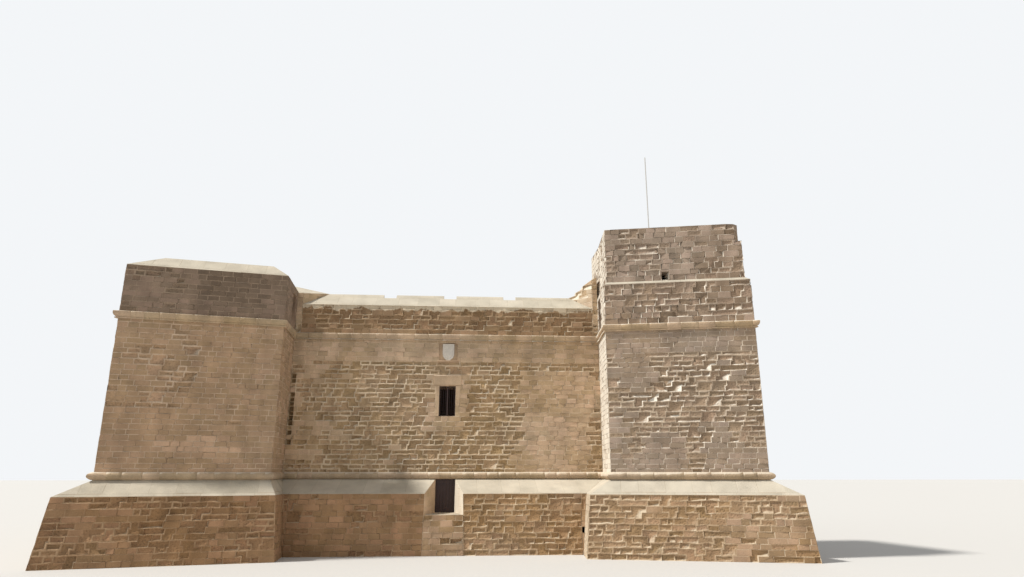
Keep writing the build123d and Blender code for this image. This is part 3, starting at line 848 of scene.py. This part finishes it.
def dressMoulding(nodeName, material):
    bm = copyOfNode(nodeName)
    bmesh.ops.dissolve_limit(
        bm, angle_limit=math.radians(mouldings["facet"]), verts=bm.verts, edges=bm.edges
    )
    if "cordon" in nodeName:
        top = [edge for edge in bm.edges if min(vert.co.z for vert in edge.verts) > cordonHigh - 0.001]
        outer = [edge for edge in top if edge.calc_face_angle_signed(0) > 1.2]
        easeEdges(bm, outer, mouldings["easedEdge"], 3)
    look = bm.faces.layers.float_vector.new("stone")
    picker = random.Random(nodeName)
    for face in bm.faces:
        face[look] = Vector(marks["moulding"])
    runs = []
    for island in islands(list(bm.faces)):
        directions = []
        for face in island:
            flat = Vector((face.normal.x, face.normal.y, 0))
            if flat.length < 0.15:
                continue
            flat.normalize()
            for run in directions:
                if run["outward"].dot(flat) > 0.9995:
                    run["faces"].append(face)
                    break
            else:
                directions.append({"outward": flat, "faces": [face]})
        runs += directions
    for run in runs:
        along = up.cross(run["outward"])
        start, end = extent(run["faces"], along)
        if end - start < mouldings["shortestRun"]:
            continue
        joints, place = [], start + picker.uniform(*mouldings["lengths"])
        while place < end - mouldings["leastEnd"]:
            joints.append(place)
            place += picker.uniform(*mouldings["lengths"])
        cuts = sorted(
            [joint + side * mouldings["jointHalf"] for joint in joints for side in (-1, 0, 1)]
            + [start + i * mouldings["step"] for i in range(1, int((end - start) / mouldings["step"]))]
        )
        rest, stones = run["faces"], []
        for cut in cuts:
            done, rest = splitAt(bm, rest, cut, along)
            stones += done
        stones += rest
        offsets = [picker.uniform(-1, 1) for i in range(len(joints) + 1)]
        tones = [picker.random() for i in range(len(joints) + 1)]
        for face in stones:
            spot = placeOn(face, along)
            nearest = min((abs(spot - joint) for joint in joints), default=1)
            inJoint = 1.0 if nearest < mouldings["jointHalf"] else 0.0
            face[look] = Vector((tones[bisect(joints, spot)], 0.35, inJoint))
        for vert in dict.fromkeys(v for face in stones for v in face.verts):
            spot = vert.co.dot(along)
            if min(spot - start, end - spot) < mouldings["mitreGap"]:
                continue
            push = offsets[bisect(joints, spot)] * mouldings["uneven"]
            push += noise.noise(vert.co * 2.7) * mouldings["erosion"]
            if any(abs(spot - joint) < 0.001 for joint in joints):
                push -= mouldings["jointDepth"]
            vert.co += run["outward"] * push
    for face in bm.faces:
        face.smooth = True
    placeFor(nodeName, bm, [material])


# Effects that the stones share
def feed(tree, node, inputs):  # sets a node's inputs, or links them to what another node puts out
    for label, value in inputs.items():
        if isinstance(value, bpy.types.NodeSocket):
            tree.links.new(value, node.inputs[label])
        else:
            node.inputs[label].default_value = value


def addNode(tree, kind, inputs=None, **settings):  # and returns what it puts out
    node = tree.nodes.new("ShaderNode" + kind)
    for label, value in settings.items():
        setattr(node, label, value)
    feed(tree, node, inputs or {})
    return node.outputs


def blended(tree, factor, first, second):  # a mix of two colours
    return addNode(tree, "Mix", {0: factor, 6: first, 7: second}, data_type="RGBA")[2]


def scaled(tree, value, low, high, newLow=0.0, newHigh=1.0):  # a value moved to a new range
    ends = {"From Min": low, "From Max": high, "To Min": newLow, "To Max": newHigh}
    return addNode(tree, "MapRange", {"Value": value, **ends})["Result"]


def reckon(tree, operation, first, second):  # arithmetic on two values
    return addNode(tree, "Math", {0: first, 1: second}, operation=operation)[0]


def noiseOf(tree, position, scale, detail, stretch=None):
    if stretch:
        position = addNode(tree, "Mapping", {"Vector": position, "Scale": stretch})[0]
    return addNode(tree, "TexNoise", {"Vector": position, "Scale": scale, "Detail": detail})["Fac"]


def addBump(tree, shader, height, distance, strength):
    bump = addNode(tree, "Bump", {"Height": height, "Distance": distance, "Strength": strength})
    feed(tree, shader, {"Normal": bump[0]})


# Limestone. Where four numbers make a range, they are two values of a pattern and what they become
limestone = {
    "patterns": (  # noise scale, detail and stretch
        (0.23, 4),  # broad
        (1.1, 6),  # patchy
        (1.0, 5, (1.6, 1.6, 0.22)),  # streaks
        (26, 8),  # grain
        (1.9, 3),  # lost mortar
        (1.0, 5, (1.7, 1.7, 0.5)),  # ragged foot of the runs
        (6.5, 4),  # chipped
    ),
    "patchyShade": (0.30, 0.70, 0.80, 1.14),
    "streakShade": (0.35, 0.68, 0.88, 1.07),
    "grainShade": (0.30, 0.72, 0.86, 1.10),
    "roughness": (0.3, 0.7, 0.86, 0.98),
    "pits": (0.05, 0.55),
    "pitShade": 0.22,
    "stains": (0.38, 0.60),
    "toneUnstained": 0.12,  # pale stones are stained less
    "mortarLeft": (0.40, 0.56, 0.30, 0.92),
    # the next three give painted sunlight: faces turned towards the sun are painted lighter, in patches
    "sunSide": (-0.62, -0.05, 0.78),
    "sunny": (0.42, 0.62),
    "paintedSunlightPatches": (0.30, 0.55, 0.70, 1.0),
    "dripRagged": 1.1,
    "dripEdge": (0.46, 0.52),
    "pitDepth": 0.026,
    "grainDepth": 0.009,
    "chipDepth": (0.003, 0.018),  # of sound stones, and what wear adds
}


def makeLimestoneGroup():
    group = bpy.data.node_groups.new("limestone", "ShaderNodeTree")
    for label, kind, value in (
        ("Position", "Vector", (0, 0, 0)),
        ("Stone", "Vector", (0.5, 0.2, 0)),
        ("Facing", "Vector", (0, 0, 0)),
        ("Sound", "Color", (0.6, 0.5, 0.4, 1)),
        ("Worn", "Color", (0.5, 0.4, 0.3, 1)),
        ("Joint", "Color", (0.8, 0.7, 0.6, 1)),
        ("Stain", "Color", (0.4, 0.25, 0.12, 1)),
        # painted sunlight: the colour that faces turned to the sun are painted with
        ("Painted Sunlight", "Color", (0.7, 0.62, 0.5, 1)),
        ("Drip", "Color", (0.7, 0.6, 0.45, 1)),
        ("Stain Amount", "Float", 0.5),
        ("Tone Spread", "Float", 0.2),
        # how much painted sunlight those faces get
        ("Painted Sunlight Amount", "Float", 0.8),
        ("Pit Scale", "Float", 9.0),
        ("Drip Level", "Float", 100.0),
    ):
        socket = group.interface.new_socket(name=label, in_out="INPUT", socket_type="NodeSocket" + kind)
        socket.default_value = value
    for label, kind in (("Color", "Color"), ("Roughness", "Float"), ("Height", "Float")):
        group.interface.new_socket(name=label, in_out="OUTPUT", socket_type="NodeSocket" + kind)

    times, plus, less = (partial(reckon, group, kind) for kind in ("MULTIPLY", "ADD", "SUBTRACT"))

    def moved(value, name):
        return scaled(group, value, *limestone[name])

    given = group.nodes.new("NodeGroupInput").outputs
    tone, wear, joint = addNode(group, "SeparateXYZ", {0: given["Stone"]})
    broad, patchy, streaks, grain, lostMortar, ragged, chipped = (
        noiseOf(group, given["Position"], *values) for values in limestone["patterns"]
    )
    pits = addNode(group, "TexVoronoi", {"Vector": given["Position"], "Scale": given["Pit Scale"]})
    pitDepth = moved(pits["Distance"], "pits")

    colour = blended(group, wear, given["Sound"], given["Worn"])
    brightness = plus(less(1.0, given["Tone Spread"]), times(tone, times(given["Tone Spread"], 2.0)))
    hue = scaled(group, tone, 0.0, 1.0, 0.506, 0.494)
    colour = addNode(group, "HueSaturation", {"Color": colour, "Value": brightness, "Hue": hue})[0]
    stained = moved(less(broad, times(tone, limestone["toneUnstained"])), "stains")
    colour = blended(group, times(stained, given["Stain Amount"]), colour, given["Stain"])
    factor = times(moved(patchy, "patchyShade"), moved(streaks, "streakShade"))
    factor = times(factor, moved(grain, "grainShade"))
    pitted = times(less(1.0, pitDepth), wear)
    factor = times(factor, less(1.0, times(pitted, limestone["pitShade"])))
    colour = addNode(group, "HueSaturation", {"Color": colour, "Value": factor})[0]
    colour = blended(group, times(joint, moved(lostMortar, "mortarLeft")), colour, given["Joint"])

    # faces turned to the sun are painted lighter as painted sunlight, and runs hang down from the drip
    # level
    facing = {0: given["Facing"], 1: limestone["sunSide"]}
    sunny = moved(addNode(group, "VectorMath", facing, operation="DOT_PRODUCT")["Value"], "sunny")
    paintedSunlightMask = times(times(sunny, given["Painted Sunlight Amount"]), moved(patchy, "paintedSunlightPatches"))
    colour = blended(group, paintedSunlightMask, colour, given["Painted Sunlight"])
    height = addNode(group, "SeparateXYZ", {0: given["Position"]})[2]
    drip = plus(less(height, given["Drip Level"]), times(ragged, limestone["dripRagged"]))
    colour = blended(group, moved(drip, "dripEdge"), colour, given["Drip"])

    relief = times(pitDepth, times(wear, limestone["pitDepth"]))
    relief = plus(relief, times(grain, limestone["grainDepth"]))
    soundChips, wornChips = limestone["chipDepth"]
    relief = plus(relief, times(chipped, plus(soundChips, times(wear, wornChips))))
    sink = group.nodes.new("NodeGroupOutput")
    feed(group, sink, {"Color": colour, "Roughness": moved(grain, "roughness"), "Height": relief})
    return group


# Each row fills the columns in their order, and what it leaves out stays as the group has it
stoneColumns = (
    "Sound", "Worn", "Joint", "Stain", "Painted Sunlight", "Stain Amount", "Tone Spread", "Painted Sunlight Amount",
    "Pit Scale", "Drip", "Drip Level",
)
# the fifth and eighth entries of each row are painted sunlight for faces turned to the sun
stoneFinishes = {
    "wallStone": (
        (0.60, 0.44, 0.30), (0.415, 0.283, 0.162), (0.74, 0.60, 0.43),
        (0.44, 0.28, 0.125), (0.70, 0.62, 0.49), 0.45, 0.13, 0.85,
    ),
    "rightStone": (
        (0.385, 0.30, 0.232), (0.385, 0.272, 0.178), (0.62, 0.50, 0.37),
        (0.40, 0.265, 0.155), (0.80, 0.74, 0.64), 0.40, 0.11, 1.0,
    ),
    "leftStone": (
        (0.46, 0.315, 0.20), (0.455, 0.305, 0.19), (0.66, 0.51, 0.37),
        (0.43, 0.27, 0.145), (0.70, 0.62, 0.49), 0.40, 0.10, 0.85,
    ),
    "parapetStone": (
        (0.305, 0.218, 0.158), (0.26, 0.185, 0.125), (0.40, 0.30, 0.215),
        (0.18, 0.125, 0.085), (0.60, 0.52, 0.40), 0.50, 0.14, 0.70,
    ),
    "curtainParapetStone": (
        (0.39, 0.26, 0.155), (0.33, 0.21, 0.115), (0.47, 0.34, 0.215),
        (0.26, 0.155, 0.073), (0.60, 0.53, 0.41), 0.55, 0.16, 0.80, 9.0, (0.60, 0.50, 0.365), 12.42,
    ),
    "paleStone": (
        (0.62, 0.46, 0.31), (0.55, 0.40, 0.25), (0.62, 0.50, 0.36),
        (0.50, 0.34, 0.18), (0.78, 0.71, 0.59), 0.35, 0.10, 0.95,
    ),
    "turretStone": (
        (0.39, 0.30, 0.23), (0.33, 0.24, 0.17), (0.54, 0.44, 0.34),
        (0.32, 0.20, 0.11), (0.76, 0.70, 0.60), 0.45, 0.15, 0.95,
    ),
    "scarpStone": (
        (0.46, 0.318, 0.205), (0.385, 0.25, 0.14), (0.59, 0.44, 0.285),
        (0.37, 0.21, 0.08), (0.66, 0.57, 0.43), 0.55, 0.15, 0.75,
    ),
    "shadedScarpStone": (
        (0.38, 0.23, 0.125), (0.34, 0.20, 0.105), (0.46, 0.31, 0.185),
        (0.28, 0.15, 0.06), (0.56, 0.46, 0.33), 0.50, 0.13, 0.60,
    ),
    "cordonStone": (
        (0.57, 0.43, 0.29), (0.50, 0.36, 0.23), (0.50, 0.37, 0.24),
        (0.42, 0.28, 0.14), (0.80, 0.73, 0.61), 0.50, 0.12, 1.0, 12.0,
    ),
    "mouldingStone": (
        (0.50, 0.38, 0.265), (0.45, 0.34, 0.22), (0.43, 0.32, 0.21),
        (0.40, 0.28, 0.16), (0.65, 0.57, 0.455), 0.45, 0.12, 0.90, 12.0,
    ),
    "shieldStone": (
        (0.70, 0.645, 0.57), (0.60, 0.54, 0.47), (0.46, 0.39, 0.32),
        (0.46, 0.39, 0.32), (0.62, 0.57, 0.50), 0.35, 0.08, 0.60, 22.0,
    ),
    "capStone": (
        (0.51, 0.455, 0.36), (0.45, 0.39, 0.295), (0.34, 0.275, 0.195),
        (0.42, 0.345, 0.245), (0.55, 0.505, 0.415), 0.45, 0.15, 0.60, 14.0,
    ),
    "pavingStone": (
        (0.48, 0.42, 0.33), (0.43, 0.36, 0.27), (0.33, 0.27, 0.195),
        (0.36, 0.29, 0.21), (0.48, 0.42, 0.33), 0.50, 0.10, 0.20, 14.0,
    ),
}


def newMaterial(name):  # with its tree, its shader and the places on the piece
    material = bpy.data.materials.new(name)
    material.use_nodes = True
    tree = material.node_tree
    return material, tree, tree.nodes["Principled BSDF"], addNode(tree, "TexCoord")


def stoneMaterial(name, group):
    material, tree, shader, place = newMaterial(name)
    values = zip(stoneColumns, stoneFinishes[name])
    inputs = {label: (*value, 1) if isinstance(value, tuple) else value for label, value in values}
    inputs["Position"], inputs["Facing"] = place["Object"], place["Normal"]
    inputs["Stone"] = addNode(tree, "Attribute", attribute_name="stone")["Vector"]
    stone = addNode(tree, "Group", inputs, node_tree=group)
    addBump(tree, shader, stone["Height"], 1.0, 0.9)
    feed(tree, shader, {
        "Base Color": stone["Color"], "Roughness": stone["Roughness"], "Specular IOR Level": 0.25,
    })
    return material


def plainMaterial(name, colour, roughness, metallic=0.0, grainScale=0.0, grainDepth=0.0, spread=0.0):
    material, tree, shader, place = newMaterial(name)
    feed(tree, shader, {"Base Color": (*colour, 1), "Roughness": roughness, "Metallic": metallic})
    if grainScale:
        grain = noiseOf(tree, place["Object"], grainScale, 6)
        darker, lighter = (
            (*(min(1.0, channel * factor) for channel in colour), 1) for factor in (1 - spread, 1 + spread)
        )
        feed(tree, shader, {
            "Base Color": blended(tree, scaled(tree, grain, 0.3, 0.7), darker, lighter),
            "Roughness": scaled(tree, grain, 0.3, 0.7, roughness - 0.1, min(1.0, roughness + 0.1)),
        })
        addBump(tree, shader, grain, grainDepth, 1.0)
    return material


# Door: upright boards on two ledges
door = {
    "boards": 7,
    "groove": 0.006,
    "boardThickness": 0.038,
    "boardUneven": (0, 0.003),
    "boardEdge": 0.004,  # bevels
    "ledgeEdge": 0.005,
    "ledgeHeight": 0.16,
    "ledgeInset": 0.17,
    "ledgeGap": 0.01,
    "nailRadius": 0.011,
    "nailInsets": (0.05, 0.12),  # from the top and the foot of the ledges' stretch of door
}


def addBox(bm, low, high, bevel=0.0):
    low, high = Vector(low), Vector(high)
    made = bmesh.ops.create_cube(bm, size=1)
    middle, size = (low + high) / 2, high - low
    bmesh.ops.scale(bm, vec=size, verts=made["verts"])
    bmesh.ops.translate(bm, vec=middle, verts=made["verts"])
    if bevel:
        edges = list(dict.fromkeys(edge for vert in made["verts"] for edge in vert.link_edges))
        easeEdges(bm, edges, bevel)


def makeDoor(material, iron):
    low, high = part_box("door_leaf")
    bm = bmesh.new()
    picker = random.Random(7)
    width = (high.x - low.x) / door["boards"]
    back = low.y + door["boardThickness"]
    for i in range(door["boards"]):
        left = low.x + i * width + door["groove"] / 2
        right = low.x + (i + 1) * width - door["groove"] / 2
        front = low.y + picker.uniform(*door["boardUneven"])
        addBox(bm, (left, front, low.z), (right, back, high.z), door["boardEdge"])
    for foot in (low.z + door["ledgeInset"], high.z - door["ledgeInset"] - door["ledgeHeight"]):
        left, right = low.x + door["ledgeGap"], high.x - door["ledgeGap"]
        addBox(bm, (left, back, foot), (right, high.y, foot + door["ledgeHeight"]), door["ledgeEdge"])
    piece = objectFrom(bm, "door_boards", [material])
    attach(piece, "door")
    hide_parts("door_leaf")

    bm = bmesh.new()
    insets = [door["ledgeInset"] + inset for inset in door["nailInsets"]]
    for i in range(door["boards"]):
        for height in [low.z + inset for inset in insets] + [high.z - inset for inset in insets]:
            made = bmesh.ops.create_icosphere(bm, subdivisions=1, radius=door["nailRadius"])
            bmesh.ops.scale(bm, vec=(1, 0.5, 1), verts=made["verts"])
            spot = (low.x + (i + 0.5) * width, low.y, height)
            bmesh.ops.translate(bm, vec=spot, verts=made["verts"])
    nails = objectFrom(bm, "door_nails", [iron])
    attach(nails, "door")


# Window bars, in each of the four frames
grille = {
    "uprights": 3,  # on each side of the middle bar
    "rails": 9,
    "radius": 0.008,
    "endGap": 0.02,  # from the outside of the frame
}


def addRod(bm, start, end, radius, sides=8):
    axis = end - start
    turn = axis.to_track_quat("Z", "Y").to_matrix().to_4x4()
    turn.translation = (start + end) / 2
    bmesh.ops.create_cone(
        bm, segments=sides, radius1=radius, radius2=radius, depth=axis.length, cap_ends=True, matrix=turn
    )


def makeGrilles(material):
    bm = bmesh.new()
    for low, high in windowBoxes:
        side = 0 if high.x - low.x > high.y - low.y else 1
        depth = (low[1 - side] + high[1 - side]) / 2

        def spot(place, height):  # a place along the window
            point = Vector((depth, depth, height))
            point[side] = place
            return point

        count, rows, end = 2 * grille["uprights"] + 2, grille["rails"] + 1, grille["endGap"]
        for i in range(1, count):
            place = low[side] + (high[side] - low[side]) * i / count
            addRod(bm, spot(place, low.z + end), spot(place, high.z - end), grille["radius"])
        for i in range(1, rows):
            height = low.z + (high.z - low.z) * i / rows
            addRod(bm, spot(low[side] + end, height), spot(high[side] - end, height), grille["radius"])
    piece = objectFrom(bm, "window_grilles", [material])
    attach(piece, "fort")


# Bare shield: a raised rim round a slightly crowned field
shield = {
    "rings": ((0.84, 0.0), (0.79, 0.020), (0.55, 0.010), (0.25, 0.004)),  # size, and depth behind the rim
}


def makeShield(material):
    bm = copyOfNode("escutcheon")
    front = [face for face in bm.faces if face.normal.y < -0.95]
    joined = bmesh.ops.dissolve_faces(bm, faces=front, use_verts=False)["region"]
    field = max(joined, key=lambda face: face.calc_area())
    outline = [vert.co.copy() for vert in field.verts]
    low, high = boxOf([field])
    middle = (low + high) / 2
    for size, depth in shield["rings"]:
        bmesh.ops.inset_individual(bm, faces=[field], thickness=0.001)
        for vert, corner in zip(field.verts, outline):
            vert.co = middle + (corner - middle) * size
            vert.co.y = corner.y + depth
    for face in bm.faces:
        face.smooth = True
    placeFor("escutcheon", bm, [material])


def roundedCopy(nodeName, radius, material):  # a node with its hard edges eased
    bm = copyOfNode(nodeName)
    flat = [edge for edge in bm.edges if len(edge.link_faces) == 2 and edge.calc_face_angle(0) < 0.02]
    bmesh.ops.dissolve_edges(bm, edges=flat, use_verts=True)
    hard = [edge for edge in bm.edges if len(edge.link_faces) == 2 and edge.calc_face_angle(0) > 0.6]
    easeEdges(bm, hard, radius)
    bmesh.ops.recalc_face_normals(bm, faces=bm.faces)
    for face in bm.faces:
        face.smooth = True
    return placeFor(nodeName, bm, [material])


# Making
print("materials")
addCamera()
stoneGroup = makeLimestoneGroup()
stoneMaterials = {name: stoneMaterial(name, stoneGroup) for name in stoneFinishes}
ironMaterial = plainMaterial("wroughtIron", (0.045, 0.04, 0.036), 0.62, 0.6, 55, 0.002, 0.35)
frameMaterial = plainMaterial("paintedIron", (0.040, 0.018, 0.013), 0.6, 0.0, 60, 0.001, 0.30)
woodMaterial = plainMaterial("doorWood", (0.034, 0.013, 0.009), 0.55, 0.0, 30, 0.003, 0.35)
mastMaterial = plainMaterial("mastMetal", (0.55, 0.53, 0.50), 0.42, 0.5, 40, 0.001, 0.12)
addLight()

print("stone walls")
for name in ("front_wall", "left_wall", "right_wall", "rear_wall"):
    dressNode(name, "wallStone")
for corner in ("front_left", "front_right", "rear_left", "rear_right"):
    finish = {"front_left": "leftStone", "front_right": "rightStone"}.get(corner, "wallStone")
    dressNode(corner + "_bastion", finish)
    finish = "shadedScarpStone" if corner == "front_left" else "scarpStone"
    dressNode(corner + "_bastion_scarp", finish, battered=True)
for name in ("front_scarp_left", "front_scarp_right", "left_scarp", "right_scarp", "rear_scarp"):
    finish = "shadedScarpStone" if name in ("front_scarp_left", "left_scarp") else "scarpStone"
    dressNode(name, finish, battered=True)
print("parapets and turret")
for name in ("front_parapet", "left_parapet", "right_parapet", "rear_parapet"):
    dressNode(name, "curtainParapetStone")
for corner in ("front_left", "rear_left", "rear_right"):
    dressNode(corner + "_bastion_parapet", "parapetStone")
dressNode("merlons", "curtainParapetStone")
dressNode("corner_blocks", "paleStone", rows=slabs["rampRows"])
for name in ("turret_lower_walls", "turret_upper_walls"):
    dressNode(name, "turretStone", course=masonry["turretCourse"])
print("floors")
for name in ("ground_floor", "upper_floor", "roof_terrace", "turret_slabs", "doorway_sill"):
    finish = "scarpStone" if name == "doorway_sill" else "pavingStone"
    dressNode(name, finish, "pavingStone", rows=slabs["floorRows"])
print("mouldings")
for name in ("curtain_base_mouldings", "bastion_base_mouldings"):
    dressMoulding(name, stoneMaterials["mouldingStone"])
for name in ("curtain_cordons", "bastion_cordons"):
    dressMoulding(name, stoneMaterials["cordonStone"])
roundedCopy("window_lintels", 0.018, stoneMaterials["paleStone"])
# the bracket takes the darker scarp stone, as painted shade under the shield
roundedCopy("escutcheon_bracket", 0.008, stoneMaterials["scarpStone"])
makeShield(stoneMaterials["shieldStone"])
print("door, window bars and mast")
makeDoor(woodMaterial, ironMaterial)
makeGrilles(frameMaterial)
for name, material in (
    ("door_straps", ironMaterial), ("door_pintles", ironMaterial),
    ("window_frames", frameMaterial), ("mast", mastMaterial),
):
    mesh = nodes[name].data
    mesh.materials.clear()
    mesh.materials.append(material)

polygons = (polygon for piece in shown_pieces() for polygon in piece.data.polygons)
print("triangles", sum(len(polygon.vertices) - 2 for polygon in polygons))
